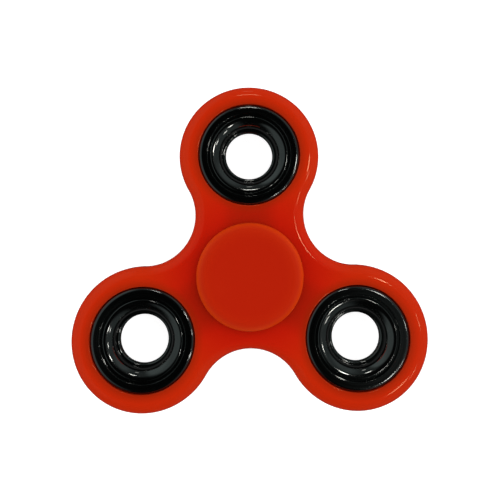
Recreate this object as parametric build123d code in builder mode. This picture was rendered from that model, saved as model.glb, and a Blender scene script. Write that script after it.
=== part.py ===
from build123d import *
import os
from math import cos, radians, sin, sqrt

# A three-armed hand spinner. The moulded frame holds a 608-size ball bearing at its hub and a turned steel
# weight ring in each arm. Two finger caps plug into the bearing's bore and into each other.
# Millimetres. +Z is the spin axis. The origin is where it meets the lower cap's resting face, and the first
# arm points along +Y. Heights in the profiles below are counted from the spinner's mid-plane.

# Driving dimensions
ARM = 26.0              # spin axis to the axis of each arm's pocket
ARMS = 3
LOBE_R = 15.2           # outside radius of an arm's round end
FRAME_T = 7.2           # thickness of the frame
FRAME_EDGE_R = 2.4      # rounding of the frame's outer edges
POCKET_R = 11.0         # pockets of the bearing and of the weight rings
POCKET_CHAMFER = 0.2
CAP_TOP = 7.0           # mid-plane to a finger cap's outer face
FIT = 0.01              # radial gap of a pressed or glued fit

# Bearing, metric size 608
BEARING_T = 7.0
BORE_R = 4.0
BALL_R = 3.969 / 2
BALLS = 7
PITCH_R = 7.5
RACE_R = BALL_R + 0.04  # radius of the two ball grooves
OUTER_LAND_R = 8.7
INNER_LAND_R = 6.3
INNER_STEP_R = 6.05     # inner race beside the shields
RACE_CHAMFER = 0.3

# Worked out from the driving dimensions
MID_Z = CAP_TOP
MID_PLANE = Plane.XY.offset(MID_Z)
SPIN_AXIS = Axis.Z
HALF_FRAME = FRAME_T / 2
HALF_BEARING = BEARING_T / 2
FLANK_R = ARM - LOBE_R  # hollow between two arms, about a point as far out as the pockets
FIRST_ARM = 90


def polar(radius, angle):
    """A point at that distance from the spin axis, at that angle in degrees."""
    return Vector(radius * cos(radians(angle)), radius * sin(radians(angle)))


def section_plane(x=0.0, y=0.0):
    """The upright plane of a turned piece's half section, with its radius along x and its height along y."""
    return Plane(origin=(x, y, MID_Z), x_dir=(1, 0, 0), z_dir=(0, -1, 0))


pieces = {}


def keep(name, part):
    """Labels a finished piece and lists it for export."""
    part.label = name
    pieces[name] = part


# Frame: three round lobes joined by hollow flanks, with four pockets right through
with BuildPart() as frame:
    with BuildSketch(MID_PLANE.offset(-HALF_FRAME)):
        with BuildLine():
            for arm in range(ARMS):
                angle = FIRST_ARM + arm * 360 / ARMS
                flank = angle + 180 / ARMS
                lobe_start = polar(ARM, angle) + polar(LOBE_R, angle - 120)
                lobe_end = polar(ARM, angle) + polar(LOBE_R, angle + 120)
                next_start = polar(ARM, angle + 120) + polar(LOBE_R, angle)
                ThreePointArc(lobe_start, polar(ARM + LOBE_R, angle), lobe_end)
                ThreePointArc(lobe_end, polar(ARM - FLANK_R, flank), next_start)
        make_face()
    extrude(amount=FRAME_T)
    fillet(frame.faces().filter_by(Axis.Z).edges(), FRAME_EDGE_R)
    with Locations(MID_PLANE):
        Hole(POCKET_R)
        with PolarLocations(ARM, ARMS, start_angle=FIRST_ARM):
            Hole(POCKET_R)
    chamfer(frame.faces().filter_by(Axis.Z).edges().filter_by(
        lambda edge: edge.geom_type == GeomType.CIRCLE and abs(edge.radius - POCKET_R) < FIT), POCKET_CHAMFER)
keep("spinner_frame", frame.part)


# Weight rings: a flat rim, a groove, a lip that rolls over into the hole, and a rounded bead round the throat.
# The two faces are alike.
RING_HALF = 3.5
RIM_EDGE_R = 0.5
RIM_INNER_R = 9.0
GROOVE_OUTER_R = 8.92
GROOVE_INNER_R = 8.5
GROOVE_FLOOR = 2.65
LIP_R = 8.15            # radius of the circle along the lip's crest
LIP_HEIGHT = 3.15
LIP_ROLL_R = 2.25       # rounding of the lip into the hole
THROAT_R = 5.1
BEAD_HALF = 0.85
BEAD_EDGE_R = 0.5

LIP_CENTRE = LIP_HEIGHT - LIP_ROLL_R
LIP_MID = (LIP_R - LIP_ROLL_R * sin(radians(45)), LIP_CENTRE + LIP_ROLL_R * cos(radians(45)))
BEAD_MID = (
    THROAT_R + BEAD_EDGE_R * (1 - cos(radians(45))),
    BEAD_HALF - BEAD_EDGE_R * (1 - sin(radians(45))),
)

for arm in range(ARMS):
    centre = polar(ARM, FIRST_ARM + arm * 360 / ARMS)
    with BuildPart() as ring:
        with BuildSketch(section_plane(centre.X, centre.Y)) as ring_section:
            with BuildLine():
                Line((THROAT_R, 0), (THROAT_R, BEAD_HALF - BEAD_EDGE_R))
                ThreePointArc((THROAT_R, BEAD_HALF - BEAD_EDGE_R), BEAD_MID, (THROAT_R + BEAD_EDGE_R, BEAD_HALF))
                Polyline(
                    (THROAT_R + BEAD_EDGE_R, BEAD_HALF),
                    (LIP_R - LIP_ROLL_R, BEAD_HALF),
                    (LIP_R - LIP_ROLL_R, LIP_CENTRE),
                )
                ThreePointArc((LIP_R - LIP_ROLL_R, LIP_CENTRE), LIP_MID, (LIP_R, LIP_HEIGHT))
                SagittaArc((LIP_R, LIP_HEIGHT), (GROOVE_INNER_R, GROOVE_FLOOR), -0.08)
                Polyline(
                    (GROOVE_INNER_R, GROOVE_FLOOR),
                    (GROOVE_OUTER_R, GROOVE_FLOOR),
                    (RIM_INNER_R, RING_HALF),
                    (POCKET_R - FIT, RING_HALF),
                    (POCKET_R - FIT, 0),
                    (THROAT_R, 0),
                )
            make_face()
            fillet(ring_section.vertices().group_by(Axis.X)[-1].sort_by(Axis.Z)[-1], RIM_EDGE_R)
        revolve(axis=Axis((centre.X, centre.Y, 0), (0, 0, 1)))
        mirror(about=MID_PLANE)
    keep(f"weight_ring_{arm + 1}", ring.part)


# Bearing races
GROOVE_HALF = sqrt(RACE_R**2 - (OUTER_LAND_R - PITCH_R) ** 2)
SEAT = 2.85             # height of the shield's seat
SEAT_R = 9.5
CLIP_GROOVE_R = 9.75
CLIP_GROOVE_LOW = 3.15
CLIP_GROOVE_HIGH = 3.4

with BuildPart() as outer_race:
    with BuildSketch(section_plane()) as race_section:
        with BuildLine():
            ThreePointArc((OUTER_LAND_R, GROOVE_HALF), (PITCH_R + RACE_R, 0), (OUTER_LAND_R, -GROOVE_HALF))
            for side in (1, -1):
                Polyline(
                    (OUTER_LAND_R, side * GROOVE_HALF),
                    (OUTER_LAND_R, side * SEAT),
                    (SEAT_R, side * SEAT),
                    (SEAT_R, side * CLIP_GROOVE_LOW),
                    (CLIP_GROOVE_R, side * CLIP_GROOVE_LOW),
                    (CLIP_GROOVE_R, side * CLIP_GROOVE_HIGH),
                    (SEAT_R, side * CLIP_GROOVE_HIGH),
                    (SEAT_R, side * HALF_BEARING),
                    (POCKET_R - FIT, side * HALF_BEARING),
                    (POCKET_R - FIT, 0),
                )
        make_face()
        chamfer(race_section.vertices().group_by(Axis.X)[-1], RACE_CHAMFER)
    revolve(axis=SPIN_AXIS)
keep("bearing_outer_race", outer_race.part)

INNER_STEP = 2.65

with BuildPart() as inner_race:
    with BuildSketch(section_plane()) as race_section:
        with BuildLine():
            ThreePointArc((INNER_LAND_R, GROOVE_HALF), (PITCH_R - RACE_R, 0), (INNER_LAND_R, -GROOVE_HALF))
            for side in (1, -1):
                Polyline(
                    (INNER_LAND_R, side * GROOVE_HALF),
                    (INNER_LAND_R, side * INNER_STEP),
                    (INNER_STEP_R, side * INNER_STEP),
                    (INNER_STEP_R, side * HALF_BEARING),
                    (BORE_R, side * HALF_BEARING),
                    (BORE_R, 0),
                )
        make_face()
        chamfer(race_section.vertices().group_by(Axis.X)[0], RACE_CHAMFER)
    revolve(axis=SPIN_AXIS)
keep("bearing_inner_race", inner_race.part)


# Balls
for ball in range(BALLS):
    with BuildPart() as bearing_ball:
        centre = polar(PITCH_R, FIRST_ARM + ball * 360 / BALLS)
        with Locations((centre.X, centre.Y, MID_Z)):
            Sphere(BALL_R)
    keep(f"bearing_ball_{ball + 1}", bearing_ball.part)


# Cage: two pressed ribbons with a pocket round each ball, riveted together between the balls
RIBBON_T = 0.35
CAGE_INNER_R = 6.65
CAGE_OUTER_R = 8.35
CAGE_POCKET_R = BALL_R + 0.1
RIVET_R = 0.4
RIVET_HEAD_R = 0.62
RIVET_HEAD_H = 0.3

with BuildPart(MID_PLANE) as cage_top:
    with BuildSketch(MID_PLANE):
        Circle(CAGE_OUTER_R)
    extrude(amount=RIBBON_T)
    with PolarLocations(PITCH_R, BALLS, start_angle=FIRST_ARM):
        Sphere(CAGE_POCKET_R + RIBBON_T)
    with BuildSketch(MID_PLANE.offset(FIT)):
        Circle(CAGE_OUTER_R)
        Circle(CAGE_INNER_R, mode=Mode.SUBTRACT)
    extrude(amount=HALF_BEARING, mode=Mode.INTERSECT)
    with PolarLocations(PITCH_R, BALLS, start_angle=FIRST_ARM):
        Sphere(CAGE_POCKET_R, mode=Mode.SUBTRACT)
    with PolarLocations(PITCH_R, BALLS, start_angle=FIRST_ARM + 180 / BALLS):
        Hole(RIVET_R + FIT)
keep("cage_half_top", cage_top.part)

with BuildPart() as cage_bottom:
    mirror(cage_top.part, about=MID_PLANE)
keep("cage_half_bottom", cage_bottom.part)

with BuildPart(MID_PLANE) as rivets:
    with PolarLocations(PITCH_R, BALLS, start_angle=FIRST_ARM + 180 / BALLS):
        Cylinder(RIVET_R, 2 * RIBBON_T + 2 * FIT)
        for side in (1, -1):
            with Locations((0, 0, side * (RIBBON_T + FIT + RIVET_HEAD_H / 2))):
                Cylinder(RIVET_HEAD_R, RIVET_HEAD_H)
    fillet(rivets.edges().filter_by(GeomType.CIRCLE).group_by(Axis.Z)[-1], RIVET_HEAD_H * 0.8)
    fillet(rivets.edges().filter_by(GeomType.CIRCLE).group_by(Axis.Z)[0], RIVET_HEAD_H * 0.8)
keep("cage_rivets", rivets.part)


# Shields and the spring clips that hold them
SHIELD_T = 0.25
SHIELD_INNER_R = 6.2
SHIELD_OUTER_R = SEAT_R - 0.03
SHIELD_STEP = 0.1       # the middle of a shield is pressed outwards by this much
CLIP_T = 0.2
CLIP_WIDTH = 0.4
CLIP_ARC = 335

for side, place in ((1, "top"), (-1, "bottom")):
    with BuildPart() as shield:
        with BuildSketch(section_plane()):
            with BuildLine():
                Polyline(
                    (SHIELD_INNER_R, side * (SEAT + SHIELD_STEP)),
                    (SHIELD_OUTER_R - 0.9, side * (SEAT + SHIELD_STEP)),
                    (SHIELD_OUTER_R - 0.7, side * SEAT),
                    (SHIELD_OUTER_R, side * SEAT),
                    (SHIELD_OUTER_R, side * (SEAT + SHIELD_T)),
                    (SHIELD_OUTER_R - 0.7, side * (SEAT + SHIELD_T)),
                    (SHIELD_OUTER_R - 0.9, side * (SEAT + SHIELD_STEP + SHIELD_T)),
                    (SHIELD_INNER_R, side * (SEAT + SHIELD_STEP + SHIELD_T)),
                    close=True,
                )
            make_face()
        revolve(axis=SPIN_AXIS)
    keep(f"bearing_shield_{place}", shield.part)

    with BuildPart() as clip:
        with BuildSketch(section_plane()):
            with Locations((CLIP_GROOVE_R - FIT - CLIP_WIDTH / 2, side * (CLIP_GROOVE_LOW + CLIP_GROOVE_HIGH) / 2)):
                Rectangle(CLIP_WIDTH, CLIP_T)
        revolve(axis=SPIN_AXIS, revolution_arc=CLIP_ARC)
    keep(f"shield_clip_{place}", clip.part)


# Finger caps
CAP_R = 11.2
CAP_UNDER = HALF_FRAME + 0.35
CAP_EDGE_R = 2.2
CAP_UNDER_EDGE_R = 0.4
CAP_RIM_IN = 7.8        # the outer face is dished inside this radius
DISH_DEPTH = 0.2
COLLAR_R = 5.4          # stands on the inner race and keeps the cap off the shield
HOLLOW_INNER_R = 6.2
HOLLOW_OUTER_R = 9.4
HOLLOW_TOP = CAP_UNDER + 1.3
STEM_R = BORE_R - FIT
STEM_END = 0.1
PIN_R = 2.0
PIN_END = -2.8
SOCKET_END = -3.1


def cap_face(side):
    """Draws a cap's outside and underside, from the dish's middle round to the stem's side."""
    ThreePointArc(
        (0, side * (CAP_TOP - DISH_DEPTH)),
        (CAP_RIM_IN / 2, side * (CAP_TOP - DISH_DEPTH * 3 / 4)),
        (CAP_RIM_IN, side * CAP_TOP),
    )
    Polyline(
        (CAP_RIM_IN, side * CAP_TOP),
        (CAP_R, side * CAP_TOP),
        (CAP_R, side * CAP_UNDER),
        (HOLLOW_OUTER_R, side * CAP_UNDER),
        (HOLLOW_OUTER_R, side * HOLLOW_TOP),
        (HOLLOW_INNER_R, side * HOLLOW_TOP),
        (HOLLOW_INNER_R, side * CAP_UNDER),
        (COLLAR_R, side * CAP_UNDER),
        (COLLAR_R, side * HALF_BEARING),
        (STEM_R, side * HALF_BEARING),
    )


def round_cap_edges(cap):
    """Rounds a cap's outer face generously and its underside a little."""
    rim = cap.edges().filter_by(GeomType.CIRCLE).filter_by(lambda edge: abs(edge.radius - CAP_R) < FIT)
    rim = rim.sort_by(lambda edge: abs(edge.center().Z - MID_Z))
    fillet(rim[-1], CAP_EDGE_R)
    fillet(rim[0], CAP_UNDER_EDGE_R)


with BuildPart() as finger_cap_top:
    with BuildSketch(section_plane()):
        with BuildLine():
            cap_face(1)
            Polyline((STEM_R, HALF_BEARING), (STEM_R, STEM_END), (PIN_R, STEM_END), (PIN_R, PIN_END), (0, PIN_END))
            Line((0, PIN_END), (0, CAP_TOP - DISH_DEPTH))
        make_face()
    revolve(axis=SPIN_AXIS)
    chamfer(finger_cap_top.faces().sort_by(Axis.Z)[0].edges(), RACE_CHAMFER)
    round_cap_edges(finger_cap_top)
keep("finger_cap_top", finger_cap_top.part)

with BuildPart() as finger_cap_bottom:
    with BuildSketch(section_plane()):
        with BuildLine():
            cap_face(-1)
            Polyline(
                (STEM_R, -HALF_BEARING),
                (STEM_R, -STEM_END),
                (PIN_R + FIT, -STEM_END),
                (PIN_R + FIT, SOCKET_END),
                (0, SOCKET_END),
            )
            Line((0, SOCKET_END), (0, DISH_DEPTH - CAP_TOP))
        make_face()
    revolve(axis=SPIN_AXIS)
    round_cap_edges(finger_cap_bottom)
keep("finger_cap_bottom", finger_cap_bottom.part)


os.makedirs("parts", exist_ok=True)
for name, part in pieces.items():
    export_step(part, f"parts/{name}.step")
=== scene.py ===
"""The looks of a three-armed hand spinner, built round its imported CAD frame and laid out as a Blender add-on.

Lengths are in metres, in the frame of the CAD model: +Z is the spin axis, and the origin lies on the resting
face of the lower finger cap. Outlines and sections are drawn about the spinner's mid-plane and moved up last.
"""

from math import asin, cos, degrees, pi, radians, sin

import bmesh
import bpy
from bpy.props import FloatProperty, FloatVectorProperty, PointerProperty
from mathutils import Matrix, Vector


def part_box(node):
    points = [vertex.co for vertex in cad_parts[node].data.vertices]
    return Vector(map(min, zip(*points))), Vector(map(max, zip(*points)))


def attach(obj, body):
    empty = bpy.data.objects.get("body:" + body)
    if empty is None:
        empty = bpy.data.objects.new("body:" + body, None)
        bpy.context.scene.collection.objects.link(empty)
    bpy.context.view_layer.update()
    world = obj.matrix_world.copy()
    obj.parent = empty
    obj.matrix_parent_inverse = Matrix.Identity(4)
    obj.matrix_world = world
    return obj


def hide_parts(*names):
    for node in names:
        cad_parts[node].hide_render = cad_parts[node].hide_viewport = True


bl_info = {
    "name": "Hand Spinner",
    "version": (1, 0, 0),
    "blender": (4, 5, 0),
    "location": "3D View > Sidebar > Spinner",
    "description": "Builds a three-armed hand spinner with its weight rings, bearing and finger caps",
    "category": "Object",
}

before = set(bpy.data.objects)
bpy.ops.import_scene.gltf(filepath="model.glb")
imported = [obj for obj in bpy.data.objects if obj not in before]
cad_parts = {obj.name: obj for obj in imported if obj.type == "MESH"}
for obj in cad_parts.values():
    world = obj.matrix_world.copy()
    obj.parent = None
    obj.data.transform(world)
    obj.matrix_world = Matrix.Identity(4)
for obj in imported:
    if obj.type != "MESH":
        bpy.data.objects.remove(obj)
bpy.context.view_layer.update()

MM = 0.001
ARMS = 3
BODY_HUB = "hub"
BODY_ROTOR = "rotor"
FIT = 0.01 * MM             # gap of a pressed or glued fit
JOIN = 1e-7                 # points nearer to each other than this are one
SHARP_ANGLE = radians(35)   # edges that turn by more than this are shaded sharp

# Sizes taken from the CAD frame. Heights are counted from the mid-plane, which lies at MID.
frame_low, frame_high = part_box("spinner_frame")
ring_low, ring_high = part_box("weight_ring_1")
bearing_low, bearing_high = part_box("bearing_outer_race")
cap_low, cap_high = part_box("finger_cap_top")
MID = (frame_low.z + frame_high.z) / 2
ARM = (ring_low.y + ring_high.y) / 2
FRAME_HALF = (frame_high.z - frame_low.z) / 2
LOBE_R = frame_high.y - ARM
RING_R = (ring_high.x - ring_low.x) / 2
RING_HALF = (ring_high.z - ring_low.z) / 2
BEARING_HALF = (bearing_high.z - bearing_low.z) / 2
CAP_R = (cap_high.x - cap_low.x) / 2
CAP_TOP = cap_high.z - MID
PIN_END = cap_low.z - MID
HUB_CENTRE = (0, 0, MID)


# ---------------------------------------------------------------- settings


def length(name, default, description):
    """A length property, in metres."""
    return FloatProperty(
        name=name, description=description, default=default, unit="LENGTH", precision=5, min=0.0
    )


def colour(name, default, description):
    """A colour property."""
    return FloatVectorProperty(
        name=name, description=description, default=default, subtype="COLOR", size=3, min=0.0, max=1.0
    )


class SpinnerFrameSettings(bpy.types.PropertyGroup):
    """Sizes and colour of the moulded frame."""

    edge_radius: length("Edge radius", 2.4 * MM, "Rounding of the outer edges")
    pocket_edge: length("Pocket edge", 0.2 * MM, "Rounding of the pockets' edges")
    parting_height: length("Parting line", 0.02 * MM, "How far the parting line stands out of the wall")
    # Painted shade: the plastic round the hub is painted a darker red than on the arms
    hub_shade_tint: colour("Hub plastic", (0.43, 0.0085, 0.0020), "Colour of the thick plastic round the hub")
    tint: colour("Arm plastic", (0.43, 0.0165, 0.0021), "Colour of the frame's plastic on the arms")
    # Painted light: the frame's rounded edges are painted a lighter orange, as where more light falls
    edge_light_tint: colour("Edge plastic", (0.45, 0.0200, 0.0022), "Colour where the plastic is rounded off")
    # Painted shade: the plastic beside the rings' pockets and in the webs between pocket and hub is painted
    # darker
    pocket_shade_tint: colour("Pocket plastic", (0.265, 0.0135, 0.0020), "Colour beside the black rings")
    web_shade_tint: colour("Web plastic", (0.335, 0.0092, 0.0021), "Colour between a ring and the bearing")


class SpinnerRingSettings(bpy.types.PropertyGroup):
    """Sizes and colour of the weight rings."""

    rim_edge: length("Rim edge", 0.8 * MM, "Rounding of the rim's outer edge")
    rim_inner: length("Rim inside", 9.0 * MM, "Inside radius of the flat rim")
    groove_depth: length("Groove depth", 0.85 * MM, "Depth of the groove inside the rim")
    lip_drop: length("Lip drop", 0.35 * MM, "How far the lip's crest lies below the rim")
    lip_roll: length("Lip roll", 2.25 * MM, "Radius of the lip where it rolls into the hole")
    throat: length("Throat", 5.1 * MM, "Radius of the hole at its narrowest")
    tint: colour("Plating", (0.174, 0.180, 0.178), "Reflected colour of the black plating")


class SpinnerCapSettings(bpy.types.PropertyGroup):
    """Sizes and colour of the finger caps."""

    edge_radius: length("Edge radius", 2.2 * MM, "Rounding of the outer face's rim")
    under_edge: length("Underside edge", 0.4 * MM, "Rounding of the underside's rim")
    under_gap: length("Gap", 0.35 * MM, "Gap between the cap and the frame")
    dish_radius: length("Dish radius", 7.8 * MM, "Radius of the shallow dish in the outer face")
    dish_depth: length("Dish depth", 0.2 * MM, "Depth of the dish")
    # Painted light and shade: a cap is painted darker in its middle and lighter towards its rim
    tint: colour("Middle plastic", (0.356, 0.0095, 0.0013), "Colour of the middle of a cap")
    rim_light_tint: colour("Outer plastic", (0.41, 0.0185, 0.0015), "Colour of the plastic towards a cap's rim")
    # Painted light: the cap's rounded rim is painted a lighter orange, as where more light falls
    edge_light_tint: colour("Edge plastic", (0.47, 0.030, 0.0016), "Colour where the plastic is rounded off")


class SpinnerBearingSettings(bpy.types.PropertyGroup):
    """Colours of the bearing."""

    race_tint: colour("Races and balls", (0.672, 0.672, 0.684), "Colour of the ground steel")
    sheet_tint: colour("Shields and cage", (0.600, 0.588, 0.564), "Colour of the pressed sheet steel")


class SpinnerStageSettings(bpy.types.PropertyGroup):
    """Floor, lights and camera."""

    floor_tint: colour("Floor", (0.6, 0.6, 0.6), "Colour of the floor")
    table_glow: FloatProperty(
        name="Table glow", description="Brightness of the lit floor", default=0.85, min=0.0
    )
    fill_power: FloatProperty(
        name="Fill power", description="Power that the two broad fills share", default=4.8, unit="POWER"
    )
    lens: FloatProperty(
        name="Lens", description="Focal length of the camera", default=45.0, unit="CAMERA"
    )


def arm_centres():
    """The middles of the three arms' pockets, in the mid-plane and about the spin axis."""
    turns = [pi / 2 + arm * 2 * pi / ARMS for arm in range(ARMS)]
    return [Vector((ARM * cos(turn), ARM * sin(turn), 0)) for turn in turns]


# ---------------------------------------------------------------- drawing and finishing meshes


def draw_path(bm, start, runs, up="Z"):
    """Draws a chain of edges and gives each run's edges.

    Points are (x, y) in the plan where up is "Y", or (radius, height) in a section where up is "Z". A run is
    ("line", end, steps) or ("arc", centre, degrees, steps), positive from the first axis to the second.
    """

    def place(point):
        return Vector((point[0], point[1], 0)) if up == "Y" else Vector((point[0], 0, point[1]))

    axis = Vector((0, 0, 1)) if up == "Y" else Vector((0, -1, 0))
    vert = bm.verts.new(place(start))
    chains = []
    for kind, target, *rest in runs:
        steps = rest[-1]
        if kind == "line":
            turn = {"angle": 0.0, "cent": (0, 0, 0), "dvec": (place(target) - vert.co) / steps}
        else:
            turn = {"angle": radians(rest[0]), "cent": place(target), "dvec": (0, 0, 0)}
        known = set(bm.edges)
        swept = bmesh.ops.spin(bm, geom=[vert], axis=axis, steps=steps, use_duplicate=False, **turn)
        vert = next(v for v in swept["geom_last"] if isinstance(v, bmesh.types.BMVert))
        chains.append([edge for edge in bm.edges if edge not in known])
    return chains


def spin_section(bm, steps):
    """Spins the drawn half section once round Z and closes its seam and its poles."""
    bmesh.ops.spin(
        bm,
        geom=bm.verts[:] + bm.edges[:],
        cent=(0, 0, 0),
        axis=(0, 0, 1),
        angle=2 * pi,
        steps=steps,
        use_merge=True,
        use_duplicate=False,
    )
    bmesh.ops.remove_doubles(bm, verts=bm.verts, dist=JOIN)


def finish_piece(bm, name, place, body, material, replaced):
    """Moves the mesh to its place and makes it an object that rides on a body and replaces a CAD node."""
    bmesh.ops.translate(bm, verts=bm.verts, vec=place)
    bmesh.ops.dissolve_degenerate(bm, edges=bm.edges, dist=JOIN / 10)
    bmesh.ops.recalc_face_normals(bm, faces=bm.faces)
    mesh = bpy.data.meshes.new(name)
    bm.to_mesh(mesh)
    bm.free()
    mesh.shade_smooth()
    mesh.set_sharp_from_angle(angle=SHARP_ANGLE)
    mesh.materials.append(material)
    piece = bpy.data.objects.new(name, mesh)
    bpy.context.scene.collection.objects.link(piece)
    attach(piece, body)
    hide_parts(replaced)


# ---------------------------------------------------------------- materials

PLASTIC_DUST = (0.7, 0.5, 0.42)
METAL_DUST = (0.35, 0.34, 0.32)
LARGEST_SPECK = 0.12        # radius of a speck of dust, as a share of their spacing


def new_group(name, inputs, outputs):
    """Starts a shader node group. Inputs are (name, socket type, default) and outputs (name, socket type)."""
    group = bpy.data.node_groups.new(name, "ShaderNodeTree")
    for label, kind, default in inputs:
        socket = group.interface.new_socket(label, in_out="INPUT", socket_type=kind)
        if default is not None:
            socket.default_value = default
    for label, kind in outputs:
        group.interface.new_socket(label, in_out="OUTPUT", socket_type=kind)
    return group, group.nodes.new("NodeGroupInput").outputs, group.nodes.new("NodeGroupOutput").inputs


def add(tree, kind, values=(), **settings):
    """Adds a node, sets its properties, and sets or links its inputs from a dict."""
    node = tree.nodes.new(kind)
    for key, value in settings.items():
        setattr(node, key, value)
    for key, value in dict(values).items():
        if isinstance(value, bpy.types.NodeSocket):
            tree.links.new(value, node.inputs[key])
        else:
            node.inputs[key].default_value = value
    return node


def maths(tree, operation, *values, clamp=False):
    """A Math node's output."""
    return add(tree, "ShaderNodeMath", enumerate(values), operation=operation, use_clamp=clamp).outputs[0]


def from_axis(tree, vector):
    """A vector's parts, the vector without its height, and its distance from the upright axis."""
    parts = add(tree, "ShaderNodeSeparateXYZ", {"Vector": vector}).outputs
    flat = add(tree, "ShaderNodeCombineXYZ", {"X": parts["X"], "Y": parts["Y"]}).outputs[0]
    radius = add(tree, "ShaderNodeVectorMath", {0: flat}, operation="LENGTH").outputs["Value"]
    return parts, flat, radius


def ease(tree, value, start, end, low=0.0, high=1.0):
    """Goes smoothly from low to high while a value goes from start to end."""
    return add(
        tree,
        "ShaderNodeMapRange",
        {"Value": value, "From Min": start, "From Max": end, "To Min": low, "To Max": high},
        interpolation_type="SMOOTHSTEP",
    ).outputs["Result"]


def build_grain_group():
    """Fine grain and slow cloudiness of a moulded surface."""
    group, given, out = new_group(
        "Moulded Grain",
        [
            ("Vector", "NodeSocketVector", None),
            ("Grain Size", "NodeSocketFloat", 0.25 * MM),
            ("Cloud Size", "NodeSocketFloat", 9 * MM),
        ],
        [("Height", "NodeSocketFloat"), ("Cloud", "NodeSocketFloat")],
    )
    grain_scale = maths(group, "DIVIDE", 1.0, given["Grain Size"])
    cloud_scale = maths(group, "DIVIDE", 1.0, given["Cloud Size"])
    grain = add(group, "ShaderNodeTexNoise", {"Vector": given["Vector"], "Scale": grain_scale, "Detail": 2.0})
    cloud = add(group, "ShaderNodeTexNoise", {"Vector": given["Vector"], "Scale": cloud_scale, "Detail": 3.0})
    group.links.new(grain.outputs["Fac"], out["Height"])
    group.links.new(cloud.outputs["Fac"], out["Cloud"])
    return group


def build_turning_group():
    """Fine rings that a lathe tool leaves round an axis, and slower streaks among them."""
    group, given, out = new_group(
        "Turning Marks",
        [("Vector", "NodeSocketVector", None), ("Pitch", "NodeSocketFloat", 0.06 * MM)],
        [("Height", "NodeSocketFloat"), ("Streak", "NodeSocketFloat")],
    )
    parts, _, radius = from_axis(group, given["Vector"])
    travel = maths(group, "ADD", radius, parts["Z"])
    count = maths(group, "DIVIDE", travel, given["Pitch"])
    fine = add(group, "ShaderNodeTexNoise", {"W": count, "Scale": 1.0, "Detail": 2.0}, noise_dimensions="1D")
    slow = add(group, "ShaderNodeTexNoise", {"W": count, "Scale": 0.12, "Detail": 1.0}, noise_dimensions="1D")
    group.links.new(fine.outputs["Fac"], out["Height"])
    group.links.new(slow.outputs["Fac"], out["Streak"])
    return group


def build_dust_group():
    """A mask of sparse small specks."""
    group, given, out = new_group(
        "Dust Specks",
        [
            ("Vector", "NodeSocketVector", None),
            ("Spacing", "NodeSocketFloat", 1.2 * MM),
            ("Share", "NodeSocketFloat", 0.3),
        ],
        [("Mask", "NodeSocketFloat")],
    )
    scale = maths(group, "DIVIDE", 1.0, given["Spacing"])
    cells = add(group, "ShaderNodeTexVoronoi", {"Vector": given["Vector"], "Scale": scale, "Randomness": 1.0})
    chance = add(group, "ShaderNodeSeparateColor", {"Color": cells.outputs["Color"]}).outputs["Red"]
    chosen = maths(group, "LESS_THAN", chance, given["Share"])
    size = maths(group, "MULTIPLY", chance, LARGEST_SPECK)
    near = maths(group, "LESS_THAN", cells.outputs["Distance"], size)
    group.links.new(maths(group, "MULTIPLY", chosen, near), out["Mask"])
    return group


def build_zones_group():
    """Masks for painted light at rounded edges and for the painted shade round the hub."""
    group, given, out = new_group(
        "Plastic Zones",
        [
            ("Vector", "NodeSocketVector", None),
            ("Face Height", "NodeSocketFloat", FRAME_HALF),
            ("Glow Reach", "NodeSocketFloat", 1.0 * MM),
            # Deep Reach is how far the painted shade round the spin axis reaches
            ("Deep Reach", "NodeSocketFloat", 12 * MM),
        ],
        [("Glow", "NodeSocketFloat"), ("Outer", "NodeSocketFloat")],
    )
    parts, _, radius = from_axis(group, given["Vector"])
    # Painted edge light grows as the surface drops below the face
    drop = maths(group, "SUBTRACT", given["Face Height"], maths(group, "ABSOLUTE", parts["Z"]))
    glow = maths(group, "DIVIDE", drop, given["Glow Reach"], clamp=True)
    shade_end = maths(group, "MULTIPLY", given["Deep Reach"], 2.0)
    group.links.new(glow, out["Glow"])
    group.links.new(ease(group, radius, given["Deep Reach"], shade_end), out["Outer"])
    return group


def build_pocket_shade_group():
    """Masks for painted shade: near a ring's pocket, and in the narrow web beside the hub."""
    group, given, out = new_group(
        "Pocket Nearness",
        [
            ("Vector", "NodeSocketVector", None),
            ("Pocket Radius", "NodeSocketFloat", RING_R),
            ("Reach", "NodeSocketFloat", 1.9 * MM),
            ("Web", "NodeSocketFloat", ARM - 2 * RING_R),
        ],
        [("Pocket", "NodeSocketFloat"), ("Web", "NodeSocketFloat")],
    )
    _, flat, radius = from_axis(group, given["Vector"])
    nearest, *others = [
        add(group, "ShaderNodeVectorMath", {0: flat, 1: centre}, operation="DISTANCE").outputs["Value"]
        for centre in arm_centres()
    ]
    for other in others:
        nearest = maths(group, "MINIMUM", nearest, other)
    from_arm = maths(group, "SUBTRACT", nearest, given["Pocket Radius"])
    from_hub = maths(group, "SUBTRACT", radius, given["Pocket Radius"])
    near = maths(group, "SUBTRACT", 1.0, maths(group, "DIVIDE", from_arm, given["Reach"]), clamp=True)
    between = maths(group, "ADD", from_arm, from_hub)
    web_end = maths(group, "MULTIPLY", given["Web"], 1.8)
    group.links.new(maths(group, "POWER", near, 1.3), out["Pocket"])
    group.links.new(ease(group, between, given["Web"], web_end, 1.0, 0.0), out["Web"])
    return group


def shared_groups():
    """The shader node groups by short names, each built when it is first asked for."""
    builders = {
        "grain": ("Moulded Grain", build_grain_group),
        "turning": ("Turning Marks", build_turning_group),
        "dust": ("Dust Specks", build_dust_group),
        "zones": ("Plastic Zones", build_zones_group),
        "pockets": ("Pocket Nearness", build_pocket_shade_group),
    }
    return {key: bpy.data.node_groups.get(name) or build() for key, (name, build) in builders.items()}


def place_group(tree, name, values):
    """Places a shared shader node group in a material and gives its outputs."""
    return add(tree, "ShaderNodeGroup", values, node_tree=shared_groups()[name]).outputs


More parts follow.
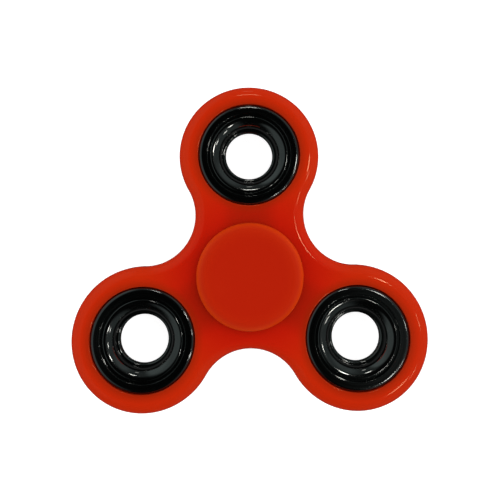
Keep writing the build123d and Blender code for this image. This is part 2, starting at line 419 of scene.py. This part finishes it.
def new_material(name):
    """A material with a plain Principled shader. Gives the material, its tree, the shader and coordinates."""
    material = bpy.data.materials.new(name)
    material.use_nodes = True
    tree = material.node_tree
    tree.nodes.clear()
    shader = tree.nodes.new("ShaderNodeBsdfPrincipled")
    output = tree.nodes.new("ShaderNodeOutputMaterial")
    tree.links.new(shader.outputs[0], output.inputs["Surface"])
    coords = tree.nodes.new("ShaderNodeTexCoord").outputs["Object"]
    return material, tree, shader, coords


def centred(tree, coords, centre):
    """Object coordinates counted from a piece's own centre."""
    place = [-value for value in centre]
    return add(tree, "ShaderNodeMapping", {"Vector": coords, "Location": place}).outputs[0]


def remap(tree, value, low, high):
    """Spreads a value from 0..1 over low..high."""
    return add(tree, "ShaderNodeMapRange", {"Value": value, "To Min": low, "To Max": high}).outputs["Result"]


def mix_colour(tree, factor, first, second):
    """Mixes two colours."""
    node = add(tree, "ShaderNodeMix", {"Factor": factor}, data_type="RGBA")
    for key, value in (("A", first), ("B", second)):
        socket = next(s for s in node.inputs if s.name == key and s.type == "RGBA")
        if isinstance(value, bpy.types.NodeSocket):
            tree.links.new(value, socket)
        else:
            socket.default_value = (*value, 1.0)
    return next(s for s in node.outputs if s.type == "RGBA")


def dusted(tree, coords, base, dust_tint, spacing, share, strength):
    """Scatters specks of dust over a base colour. Gives the colour and how much dust there is."""
    dust = place_group(tree, "dust", {"Vector": coords, "Spacing": spacing, "Share": share})
    specks = maths(tree, "MULTIPLY", dust["Mask"], strength)
    return mix_colour(tree, specks, base, dust_tint), specks


def raise_grain(tree, shader, height, strength, distance):
    """Gives the shader a bump that is that deep."""
    values = {"Height": height, "Strength": strength, "Distance": distance}
    bump = add(tree, "ShaderNodeBump", values)
    tree.links.new(bump.outputs["Normal"], shader.inputs["Normal"])


def plastic(name, tints, roughness, gloss, face, glow_reach, shade_reach, pocket_shade_tints=None):
    """Moulded plastic with a painted shade tint, a plain tint and a painted edge light tint.

    The painted shade tint lies within shade_reach of the spin axis and has gone at twice that.
    The painted edge light is at rounded edges, as where more light falls, and grows over glow_reach
    below the height face. The pocket shade tints are painted shade beside an arm's pocket and in the
    web between two pockets.
    """
    # Painted shade towards the middle, the plain colour, and painted light on rounded edges
    centre_shade, plain, glow = tints
    material, tree, shader, coords = new_material(name)
    about = centred(tree, coords, HUB_CENTRE)
    reaches = {"Face Height": face, "Glow Reach": glow_reach, "Deep Reach": shade_reach}
    zones = place_group(tree, "zones", {"Vector": about, **reaches})
    grain = place_group(tree, "grain", {"Vector": coords})
    body = mix_colour(tree, zones["Outer"], centre_shade, plain)
    # Painted shade beside the pockets and in the webs
    if pocket_shade_tints:
        near = place_group(tree, "pockets", {"Vector": about})
        body = mix_colour(tree, near["Web"], body, pocket_shade_tints[1])
        body = mix_colour(tree, near["Pocket"], body, pocket_shade_tints[0])
    # Painted edge light, a little uneven with the grain's cloudiness
    cloud = remap(tree, grain["Cloud"], -0.1, 0.1)
    glowing = maths(tree, "ADD", zones["Glow"], cloud, clamp=True)
    base = mix_colour(tree, glowing, body, glow)
    base, _ = dusted(tree, coords, base, PLASTIC_DUST, spacing=2.6 * MM, share=0.1, strength=0.1)
    rough = remap(tree, grain["Cloud"], roughness * 0.85, roughness * 1.15)
    tree.links.new(base, shader.inputs["Base Color"])
    tree.links.new(rough, shader.inputs["Roughness"])
    raise_grain(tree, shader, grain["Height"], 0.3, 0.002 * MM)
    shader.inputs["IOR"].default_value = 1.49
    shader.inputs["Specular IOR Level"].default_value = gloss
    shader.inputs["Specular Tint"].default_value = (1.0, 0.7, 0.4, 1.0)
    return material


def turned_metal(name, tint, roughness, centre, mark_height, pitch=0.06 * MM, dusty=0.0):
    """Turned or ground metal with fine rings round its own axis, and dust where it is dusty."""
    material, tree, shader, coords = new_material(name)
    about = centred(tree, coords, centre)
    marks = place_group(tree, "turning", {"Vector": about, "Pitch": pitch})
    darker = [value * 0.85 for value in tint]
    lighter = [value * 1.15 for value in tint]
    base = mix_colour(tree, marks["Streak"], darker, lighter)
    base, specks = dusted(tree, coords, base, METAL_DUST, spacing=1.4 * MM, share=0.35, strength=dusty)
    rough = remap(tree, marks["Streak"], roughness * 0.7, roughness * 1.3)
    rough = maths(tree, "MULTIPLY_ADD", specks, 0.5, rough)
    tree.links.new(base, shader.inputs["Base Color"])
    tree.links.new(rough, shader.inputs["Roughness"])
    raise_grain(tree, shader, marks["Height"], 0.5, mark_height)
    shader.inputs["Metallic"].default_value = 1.0
    return material


# ---------------------------------------------------------------- frame


class SPINNER_OT_frame(bpy.types.Operator):
    """Moulds the three-armed frame"""

    bl_idname = "spinner.frame"
    bl_label = "Moulded Frame"

    STEP = 2                    # degrees between the points of the lobes and pockets
    BRIDGE_STEPS = 6            # across the web between the hub's pocket and an arm's
    EDGE_STEPS = 14
    POCKET_EDGE_STEPS = 3
    HOLD = 0.1 * MM             # narrow flat band that keeps the shading of the flat faces flat
    EDGE_ANGLE = radians(60)    # edges that turn by more than this are rounded
    PARTING_HALF = 0.09 * MM    # half the width of the parting line

    def execute(self, context):
        settings = context.scene.spinner_frame
        bm = bmesh.new()
        self.draw_half_arm(bm, settings)
        bmesh.ops.mirror(bm, geom=bm.verts[:] + bm.edges[:] + bm.faces[:], axis="X", merge_dist=JOIN)
        bmesh.ops.spin(
            bm,
            geom=bm.verts[:] + bm.edges[:] + bm.faces[:],
            cent=(0, 0, 0),
            axis=(0, 0, 1),
            angle=2 * pi * (ARMS - 1) / ARMS,
            steps=ARMS - 1,
            use_duplicate=True,
        )
        bmesh.ops.remove_doubles(bm, verts=bm.verts, dist=JOIN)
        bmesh.ops.translate(bm, verts=bm.verts, vec=(0, 0, -FRAME_HALF))
        raised = bmesh.ops.extrude_face_region(bm, geom=bm.faces[:])["geom"]
        verts = [item for item in raised if isinstance(item, bmesh.types.BMVert)]
        bmesh.ops.translate(bm, verts=verts, vec=(0, 0, 2 * FRAME_HALF))
        bmesh.ops.recalc_face_normals(bm, faces=bm.faces)
        self.round_edges(bm, settings)
        self.raise_parting_line(bm, settings)
        # The frame's colour carries painted shade round the hub, beside the pockets and in the webs, and
        # painted light on its rounded edges
        material = plastic(
            "Frame Plastic",
            tints=(settings.hub_shade_tint, settings.tint, settings.edge_light_tint),
            roughness=0.07,
            gloss=0.5,
            face=FRAME_HALF,
            glow_reach=2.0 * MM,
            shade_reach=12 * MM,
            pocket_shade_tints=(settings.pocket_shade_tint, settings.web_shade_tint),
        )
        finish_piece(
            bm, "frame_moulding", HUB_CENTRE, BODY_ROTOR, material, "spinner_frame"
        )
        return {"FINISHED"}

    def draw_half_arm(self, bm, settings):
        """Draws a sixth of the flat outline and its pockets, from the first arm's middle to the next flank's.

        The outline is an arc about the middle of the lobe, then one about the middle of the hollow flank.
        """
        lobe = (0, ARM)
        flank = (ARM * cos(radians(30)), ARM * sin(radians(30)))
        inset = settings.edge_radius + self.HOLD
        pocket = RING_R + FIT
        collar = pocket + settings.pocket_edge + self.HOLD

        # The outline's lobe is stepped like the pocket beside it, so that no face reaches across the pocket
        lobe_steps, pocket_steps, hub_steps = (turn // self.STEP for turn in (120, 180, 60))
        flank_steps = pocket_steps + self.BRIDGE_STEPS + hub_steps - lobe_steps

        def outline(offset):
            start = (0, ARM + LOBE_R - offset)
            runs = [("arc", lobe, -120, lobe_steps), ("arc", flank, 60, flank_steps)]
            return sum(draw_path(bm, start, runs, up="Y"), [])

        edge, flat = outline(0), outline(inset)
        arm_collar, web, hub_collar = draw_path(
            bm,
            (0, ARM + collar),
            [
                ("arc", lobe, -180, pocket_steps),
                ("line", (0, collar), self.BRIDGE_STEPS),
                ("arc", (0, 0), -60, hub_steps),
            ],
            up="Y",
        )
        (arm_pocket,) = draw_path(bm, (0, ARM + pocket), [("arc", lobe, -180, pocket_steps)], up="Y")
        (hub_pocket,) = draw_path(bm, (0, pocket), [("arc", (0, 0), -60, hub_steps)], up="Y")
        for loops in (
            edge + flat,
            flat + arm_collar + web + hub_collar,
            arm_collar + arm_pocket,
            hub_collar + hub_pocket,
        ):
            bmesh.ops.bridge_loops(bm, edges=loops)

    def round_edges(self, bm, settings):
        """Rounds the outer edges and, a little, the edges of the pockets."""
        sharp = [edge for edge in bm.edges if edge.is_manifold and edge.calc_face_angle() > self.EDGE_ANGLE]
        outer, pockets = [], []
        for edge in sharp:
            middle = (edge.verts[0].co + edge.verts[1].co) / 2
            (outer if self.is_outer(middle) else pockets).append(edge)
        for edges, radius, segments in (
            (outer, settings.edge_radius, self.EDGE_STEPS),
            (pockets, settings.pocket_edge, self.POCKET_EDGE_STEPS),
        ):
            bmesh.ops.bevel(
                bm,
                geom=edges,
                offset=radius,
                offset_type="OFFSET",
                segments=segments,
                profile=0.5,
                affect="EDGES",
                material=-1,
                loop_slide=True,
            )

    def raise_parting_line(self, bm, settings):
        """Raises the fine line round the outer wall where the mould's halves meet."""
        for height in (-self.PARTING_HALF, 0.0, self.PARTING_HALF):
            wall = [
                face
                for face in bm.faces
                if abs(face.normal.z) < 0.1 and abs(face.calc_center_median().z) < FRAME_HALF / 2
            ]
            geom = {item for face in wall for item in (*face.verts, *face.edges, face)}
            bmesh.ops.bisect_plane(
                bm, geom=list(geom), dist=JOIN / 10, plane_co=(0, 0, height), plane_no=(0, 0, 1)
            )
        bm.normal_update()
        for vert in bm.verts:
            if abs(vert.co.z) < JOIN and self.is_outer(vert.co):
                vert.co += vert.normal * settings.parting_height

    @staticmethod
    def is_outer(point):
        """True at the outer wall and its edges, false at the pockets."""
        middles = [Vector((0, 0)), *(centre.to_2d() for centre in arm_centres())]
        return min((point.to_2d() - middle).length for middle in middles) > (RING_R + LOBE_R) / 2


# ---------------------------------------------------------------- weight rings


class SPINNER_OT_rings(bpy.types.Operator):
    """Turns the three plated weight rings"""

    bl_idname = "spinner.rings"
    bl_label = "Weight Rings"

    STEPS = 160
    BEAD_HALF = 0.85 * MM   # half the height of the bead round the throat
    BEAD_EDGE = 0.5 * MM
    BEAD_WIDTH = 0.8 * MM
    LIP_FALL = 0.3 * MM     # radius of the lip's outer rounding
    LIP_WIDTH = 0.35 * MM   # from the lip's crest out to the groove
    SOFT = 0.03 * MM        # broken edges of the rim and the groove
    HOLD = 0.04 * MM        # narrow band that keeps the shading of the flat rim flat

    def execute(self, context):
        settings = context.scene.spinner_rings
        for arm in range(ARMS):
            node = f"weight_ring_{arm + 1}"
            low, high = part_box(node)
            centre = (low + high) / 2
            bm = bmesh.new()
            self.draw_section(bm, settings)
            bmesh.ops.mirror(bm, geom=bm.verts[:] + bm.edges[:], axis="Z", merge_dist=JOIN)
            spin_section(bm, self.STEPS)
            material = turned_metal(
                f"Black Plating {arm + 1}",
                tint=settings.tint,
                roughness=0.09,
                centre=centre,
                mark_height=0.00006 * MM,
                dusty=0.03,
            )
            place = (centre.x, centre.y, MID)
            finish_piece(bm, f"turned_ring_{arm + 1}", place, BODY_ROTOR, material, node)
        return {"FINISHED"}

    def draw_section(self, bm, settings):
        """Draws the upper half of the ring's section, from its throat round to its outer wall."""
        soft = self.SOFT
        lip_inner = settings.throat + self.BEAD_WIDTH
        lip_crest = lip_inner + settings.lip_roll
        lip_top = RING_HALF - settings.lip_drop
        lip_centre = lip_top - settings.lip_roll
        groove_floor = RING_HALF - settings.groove_depth
        groove_inner = lip_crest + self.LIP_WIDTH
        rim_inner = settings.rim_inner
        runs = [
            ("line", (settings.throat, self.BEAD_HALF - self.BEAD_EDGE), 1),
            ("arc", (settings.throat + self.BEAD_EDGE, self.BEAD_HALF - self.BEAD_EDGE), -90, 8),
            ("line", (lip_inner - self.HOLD, self.BEAD_HALF), 1),
            ("line", (lip_inner, self.BEAD_HALF), 1),
            ("line", (lip_inner, lip_centre), 1),
            ("arc", (lip_crest, lip_centre), -90, 28),
            ("arc", (lip_crest, lip_top - self.LIP_FALL), -70, 8),
            ("line", (groove_inner, groove_floor + soft), 2),
            ("line", (groove_inner + soft, groove_floor), 1),
            ("line", (rim_inner - 2 * soft, groove_floor), 1),
            ("line", (rim_inner - soft, groove_floor + soft), 1),
            ("line", (rim_inner, RING_HALF - 2 * soft), 1),
            ("arc", (rim_inner + 2 * soft, RING_HALF - 2 * soft), -90, 5),
            ("line", (rim_inner + 2 * soft + self.HOLD, RING_HALF), 1),
            ("line", (RING_R - settings.rim_edge - self.HOLD, RING_HALF), 2),
            ("line", (RING_R - settings.rim_edge, RING_HALF), 1),
            ("arc", (RING_R - settings.rim_edge, RING_HALF - settings.rim_edge), -90, 9),
            ("line", (RING_R, 0), 2),
        ]
        draw_path(bm, (settings.throat, 0), runs)


# ---------------------------------------------------------------- finger caps


class SPINNER_OT_caps(bpy.types.Operator):
    """Moulds the two finger caps, which plug through the bearing into each other"""

    bl_idname = "spinner.caps"
    bl_label = "Finger Caps"

    STEPS = 160
    HOLD = 0.08 * MM        # narrow band that keeps the shading of the flat rim flat
    HOLLOW_DEPTH = 1.3 * MM
    HOLLOW_OUTER = 9.4 * MM
    HOLLOW_INNER = 6.2 * MM
    COLLAR_R = 5.4 * MM
    STEM_R = 3.99 * MM
    STEM_END = 0.1 * MM
    PIN_R = 2.0 * MM
    PIN_CHAMFER = 0.3 * MM
    SOCKET_END = 3.1 * MM   # height of the socket's end in the lower cap, which is drawn facing up

    def execute(self, context):
        settings = context.scene.spinner_caps
        for side, place in ((1, "top"), (-1, "bottom")):
            bm = bmesh.new()
            self.draw_section(bm, settings, side)
            if side < 0:
                bmesh.ops.scale(bm, vec=(1, 1, -1), verts=bm.verts)
            spin_section(bm, self.STEPS)
            # The caps' colour carries painted shade in the middle and painted light towards the rim and on the
            # rounded edge
            material = plastic(
                f"Cap Plastic {place}",
                tints=(settings.tint, settings.rim_light_tint, settings.edge_light_tint),
                roughness=0.5,
                gloss=0.05,
                face=CAP_TOP - settings.dish_depth,
                glow_reach=0.8 * MM,
                shade_reach=7 * MM,
            )
            name, node = f"{place}_finger_cap", f"finger_cap_{place}"
            finish_piece(bm, name, HUB_CENTRE, BODY_HUB, material, node)
        return {"FINISHED"}

    def draw_section(self, bm, settings, side):
        """Draws a cap facing up, from the middle of its dish round to the end of its pin or of its socket."""
        under = FRAME_HALF + settings.under_gap
        depth, reach = settings.dish_depth, settings.dish_radius
        dish_curve = (reach**2 + depth**2) / (2 * depth)
        flat_end = CAP_R - settings.edge_radius
        under_edge = settings.under_edge
        runs = [
            ("arc", (0, CAP_TOP - depth + dish_curve), degrees(asin(reach / dish_curve)), 20),
            ("line", (reach + self.HOLD, CAP_TOP), 1),
            ("line", (flat_end - self.HOLD, CAP_TOP), 2),
            ("line", (flat_end, CAP_TOP), 1),
            ("arc", (flat_end, CAP_TOP - settings.edge_radius), -90, 18),
            ("line", (CAP_R, under + under_edge), 2),
            ("arc", (CAP_R - under_edge, under + under_edge), -90, 6),
            ("line", (self.HOLLOW_OUTER, under), 2),
            ("line", (self.HOLLOW_OUTER, under + self.HOLLOW_DEPTH), 2),
            ("line", (self.HOLLOW_INNER, under + self.HOLLOW_DEPTH), 3),
            ("line", (self.HOLLOW_INNER, under), 2),
            ("line", (self.COLLAR_R, under), 1),
            ("line", (self.COLLAR_R, BEARING_HALF), 1),
            ("line", (self.STEM_R, BEARING_HALF), 1),
            ("line", (self.STEM_R, self.STEM_END), 4),
        ]
        if side > 0:
            runs += [
                ("line", (self.PIN_R, self.STEM_END), 2),
                ("line", (self.PIN_R, PIN_END + self.PIN_CHAMFER), 3),
                ("line", (self.PIN_R - self.PIN_CHAMFER, PIN_END), 1),
                ("line", (0, PIN_END), 2),
            ]
        else:
            socket = self.PIN_R + FIT
            runs += [
                ("line", (socket, self.STEM_END), 2),
                ("line", (socket, self.SOCKET_END), 3),
                ("line", (0, self.SOCKET_END), 2),
            ]
        draw_path(bm, (0, CAP_TOP - depth), runs)


# ---------------------------------------------------------------- bearing


class SPINNER_OT_bearing(bpy.types.Operator):
    """Gives the bearing's races, balls, cage, shields and clips their steel"""

    bl_idname = "spinner.bearing"
    bl_label = "Bearing"

    def execute(self, context):
        settings = context.scene.spinner_bearing
        ground = turned_metal(
            "Ground Steel", settings.race_tint, 0.16, HUB_CENTRE, mark_height=0.0015 * MM
        )
        pressed = turned_metal(
            "Pressed Steel", settings.sheet_tint, 0.3, HUB_CENTRE, mark_height=0.004 * MM, pitch=0.15 * MM
        )
        for name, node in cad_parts.items():
            if name.startswith(("bearing_ball", "bearing_outer", "bearing_inner")):
                self.cover(node, ground)
            elif name.startswith(("bearing_shield", "shield_clip", "cage_")):
                self.cover(node, pressed)
        return {"FINISHED"}

    @staticmethod
    def cover(node, material):
        """Puts a material over a CAD node's own."""
        for slot in node.material_slots:
            slot.link = "OBJECT"
            slot.material = material


# ---------------------------------------------------------------- stage


class SPINNER_OT_stage(bpy.types.Operator):
    """Sets the floor, the lights, the surroundings and the camera"""

    bl_idname = "spinner.stage"
    bl_label = "Stage"

    # Small lamps that draw the highlights, clear of the flat faces' mirror directions:
    # name, azimuth and tilt from overhead in degrees, width and height in metres, power in watts
    LAMPS = (
        ("lamp_right", 20, 19.3, 0.08, 0.06, 0.30),
        ("lamp_front", -45, 27, 0.08, 0.06, 0.26),
        ("lamp_back", 90, 30, 0.12, 0.06, 0.22),
        ("lamp_far_right", -5, 35, 0.08, 0.06, 0.17),
        ("lamp_low_right", -34, 46, 0.10, 0.06, 0.18),
        ("lamp_low_back", 90, 66, 0.12, 0.06, 0.06),
    )
    # Broad fills that leave no reflection:
    # name, azimuth and tilt in degrees, distance and size in metres, share of the fills' power
    FILLS = (("fill_right", 20, 50, 0.6, 0.5, 0.22), ("fill_left", 165, 48, 1.0, 1.0, 0.42))
    LAMP_DISTANCE = 1.0
    LAMP_TINT = (1.0, 0.96, 0.9)
    WHITE = (1.0, 1.0, 1.0, 1.0)
    FLOOR_RADIUS = 4.0
    FLOOR_DROP = 0.02 * MM      # how far the floor lies below the resting face
    FLOOR_REFLECTED = 0.06      # brightness of the floor in reflections
    DARKEST = 0.004             # brightness of the room's darkest parts in reflections
    REFLECTED_TINT = (0.84, 1.0, 0.98)
    CAMERA_PLACE = (-0.58, 6.58, 133.25)    # in millimetres, from the plane of the rings' upper faces
    CAMERA_TURN = (6.353, -0.766, -0.453)   # in degrees
    CAMERA_SHIFT = (-0.0108, -0.1493)

    def execute(self, context):
        settings = context.scene.spinner_stage
        self.lay_floor(settings)
        self.set_surroundings(context.scene)
        self.hang_lights(settings)
        self.place_camera(context.scene, settings)
        context.scene.view_settings.view_transform = "Standard"
        context.scene.view_settings.look = "None"
        return {"FINISHED"}

    def lay_floor(self, settings):
        """A wide pale floor just under the lower cap, lit like a light table."""
        material, tree, shader, coords = new_material("Light Table")
        noise = {"Vector": coords, "Scale": 14.0, "Detail": 2.0}
        tone = add(tree, "ShaderNodeTexNoise", noise).outputs["Fac"]
        darker = [value * 0.97 for value in settings.floor_tint]
        tree.links.new(mix_colour(tree, tone, darker, settings.floor_tint), shader.inputs["Base Color"])
        shader.inputs["Roughness"].default_value = 0.9
        shader.inputs["Specular IOR Level"].default_value = 0.1
        rays = tree.nodes.new("ShaderNodeLightPath").outputs
        glow = maths(tree, "MULTIPLY", rays["Is Camera Ray"], settings.table_glow)
        lamp = add(tree, "ShaderNodeEmission", {"Color": self.WHITE, "Strength": glow}).outputs[0]
        lit = add(tree, "ShaderNodeAddShader", {0: shader.outputs[0], 1: lamp}).outputs[0]
        reflected = add(tree, "ShaderNodeEmission", {"Color": self.WHITE, "Strength": self.FLOOR_REFLECTED})
        choice = {0: rays["Is Glossy Ray"], 1: lit, 2: reflected.outputs[0]}
        shown = add(tree, "ShaderNodeMixShader", choice).outputs[0]
        # The underside of the floor is clear, so that the spinner can be looked at from below
        below = tree.nodes.new("ShaderNodeNewGeometry").outputs["Backfacing"]
        clear = tree.nodes.new("ShaderNodeBsdfTransparent").outputs[0]
        one_sided = add(tree, "ShaderNodeMixShader", {0: below, 1: shown, 2: clear})
        output = next(node for node in tree.nodes if node.type == "OUTPUT_MATERIAL")
        tree.links.new(one_sided.outputs[0], output.inputs["Surface"])
        bm = bmesh.new()
        bmesh.ops.create_circle(bm, cap_ends=True, radius=self.FLOOR_RADIUS, segments=96)
        bmesh.ops.translate(bm, verts=bm.verts, vec=(0, 0, -self.FLOOR_DROP))
        mesh = bpy.data.meshes.new("floor")
        bm.to_mesh(mesh)
        bm.free()
        mesh.materials.append(material)
        floor = bpy.data.objects.new("floor", mesh)
        bpy.context.scene.collection.objects.link(floor)

    def reflected_room(self, tree, x, y):
        """How bright the room looks in reflections: brightest on the left, dark overhead and in front."""
        left = maths(tree, "MULTIPLY", ease(tree, x, -0.20, -0.42, 0.0, 0.185), ease(tree, y, -0.8, -0.4))
        right = ease(tree, x, 0.10, 0.45, 0.0, 0.10)
        back = ease(tree, y, 0.22, 0.60, 0.0, 0.07)
        walls = maths(tree, "ADD", left, maths(tree, "ADD", right, back))
        return maths(tree, "ADD", walls, self.DARKEST)

    @staticmethod
    def cast_light(tree, x, y, z):
        """How much light the room casts: least from overhead, most from the sides, the right and the back."""
        height = ease(tree, z, 0.5, 0.95, 1.38, 0.4)
        sides = maths(tree, "MULTIPLY_ADD", maths(tree, "ABSOLUTE", x), 0.55, 0.765)
        slant = maths(tree, "MULTIPLY_ADD", y, 0.03, maths(tree, "MULTIPLY_ADD", x, 0.04, sides))
        return maths(tree, "MULTIPLY", height, slant)

    def set_surroundings(self, scene):
        """A room that is white to the camera, casts light on the spinner, and looks dim in reflections."""
        world = bpy.data.worlds.new("Studio")
        scene.world = world
        world.use_nodes = True
        tree = world.node_tree
        tree.nodes.clear()
        direction = tree.nodes.new("ShaderNodeTexCoord").outputs["Generated"]
        x, y, z = add(tree, "ShaderNodeSeparateXYZ", {"Vector": direction}).outputs
        rays = tree.nodes.new("ShaderNodeLightPath").outputs
        glossy = rays["Is Glossy Ray"]
        seen = {0: rays["Is Camera Ray"], 2: self.cast_light(tree, x, y, z), 3: 1.0}
        seen_or_cast = add(tree, "ShaderNodeMix", seen, data_type="FLOAT").outputs[0]
        choice = {0: glossy, 2: seen_or_cast, 3: self.reflected_room(tree, x, y)}
        strength = add(tree, "ShaderNodeMix", choice, data_type="FLOAT").outputs[0]
        tone = mix_colour(tree, glossy, self.WHITE[:3], self.REFLECTED_TINT)
        background = add(tree, "ShaderNodeBackground", {"Color": tone, "Strength": strength})
        output = tree.nodes.new("ShaderNodeOutputWorld")
        tree.links.new(background.outputs[0], output.inputs["Surface"])

    def hang_light(self, name, azimuth, tilt, distance, size, power, glossy):
        """Hangs a rectangular light at an azimuth and a tilt from overhead, facing the spinner."""
        data = bpy.data.lights.new(name, "AREA")
        data.shape = "RECTANGLE"
        data.size, data.size_y = size
        data.energy = power
        data.color = self.LAMP_TINT
        light = bpy.data.objects.new(name, data)
        bpy.context.scene.collection.objects.link(light)
        turn, lean = radians(azimuth), radians(tilt)
        direction = Vector((sin(lean) * cos(turn), sin(lean) * sin(turn), cos(lean)))
        light.location = Vector(HUB_CENTRE) + direction * distance
        light.rotation_mode = "QUATERNION"
        light.rotation_quaternion = direction.to_track_quat("Z", "Y")
        light.visible_glossy = glossy
        light.visible_camera = False

    def hang_lights(self, settings):
        """Hangs the fills and the lamps."""
        for name, azimuth, tilt, distance, size, share in self.FILLS:
            power = share * settings.fill_power
            self.hang_light(name, azimuth, tilt, distance, (size, size), power, glossy=False)
        for name, azimuth, tilt, width, height, power in self.LAMPS:
            self.hang_light(name, azimuth, tilt, self.LAMP_DISTANCE, (width, height), power, glossy=True)

    def place_camera(self, scene, settings):
        """Looks almost straight down on the upper face."""
        data = bpy.data.cameras.new("camera")
        data.sensor_width = 36.0
        data.lens = settings.lens
        data.shift_x, data.shift_y = self.CAMERA_SHIFT
        data.clip_start = 0.005
        camera = bpy.data.objects.new("camera", data)
        scene.collection.objects.link(camera)
        camera.location = Vector(self.CAMERA_PLACE) * MM + Vector((0, 0, MID + RING_HALF))
        camera.rotation_euler = [radians(turn) for turn in self.CAMERA_TURN]
        scene.camera = camera


# ---------------------------------------------------------------- panel and registration


class SPINNER_PT_panel(bpy.types.Panel):
    """Lists the spinner's pieces"""

    bl_idname = "SPINNER_PT_panel"
    bl_label = "Hand Spinner"
    bl_space_type = "VIEW_3D"
    bl_region_type = "UI"
    bl_category = "Spinner"

    def draw(self, context):
        layout = self.layout
        for operator, group in BUILD_ORDER:
            box = layout.box()
            box.operator(operator.bl_idname)
            settings = getattr(context.scene, group)
            for name in settings.__annotations__:
                box.prop(settings, name)


BUILD_ORDER = (
    (SPINNER_OT_frame, "spinner_frame"),
    (SPINNER_OT_rings, "spinner_rings"),
    (SPINNER_OT_caps, "spinner_caps"),
    (SPINNER_OT_bearing, "spinner_bearing"),
    (SPINNER_OT_stage, "spinner_stage"),
)

SETTINGS = {
    "spinner_frame": SpinnerFrameSettings,
    "spinner_rings": SpinnerRingSettings,
    "spinner_caps": SpinnerCapSettings,
    "spinner_bearing": SpinnerBearingSettings,
    "spinner_stage": SpinnerStageSettings,
}

CLASSES = (*SETTINGS.values(), *(operator for operator, _ in BUILD_ORDER), SPINNER_PT_panel)


def register():
    """Registers the classes and hangs the settings on the scene."""
    for cls in CLASSES:
        bpy.utils.register_class(cls)
    for name, cls in SETTINGS.items():
        setattr(bpy.types.Scene, name, PointerProperty(type=cls))


def unregister():
    """Takes the settings and the classes away again."""
    for name in SETTINGS:
        delattr(bpy.types.Scene, name)
    for cls in reversed(CLASSES):
        bpy.utils.unregister_class(cls)


def main():
    """Builds every piece and the stage."""
    register()
    bpy.ops.spinner.frame()
    bpy.ops.spinner.rings()
    bpy.ops.spinner.caps()
    bpy.ops.spinner.bearing()
    bpy.ops.spinner.stage()


if __name__ == "__main__":
    main()
